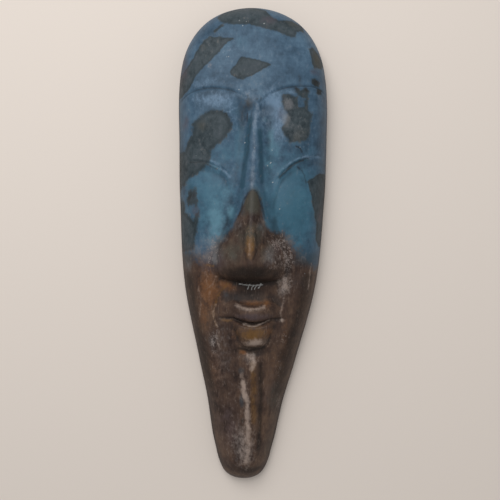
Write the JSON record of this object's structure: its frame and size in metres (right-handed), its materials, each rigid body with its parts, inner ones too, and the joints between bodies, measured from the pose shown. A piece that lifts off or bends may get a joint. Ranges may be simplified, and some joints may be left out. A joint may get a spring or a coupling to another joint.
{
  "type": "ceramic mask",
  "caption": "Long tapering wall mask of painted fired clay, hollow behind, with closed eyes, a ridged nose, small lips and a flat back rim.",
  "frame": {"origin": "middle of the mask's outline, in the plane of the flat back rim that it lies on", "axes": "+Z out of the face, +Y from chin to crown, +X to the right as the face is looked at"},
  "size_m": [0.1585, 0.5, 0.0792],
  "materials": {
    "painted_clay": "satin, cold-painted terracotta: blue above, dark bronze brown below, with worn and scuffed patches"
  },
  "bodies": {
    "root": {"mask": "painted_clay"}
  },
  "joints": []
}
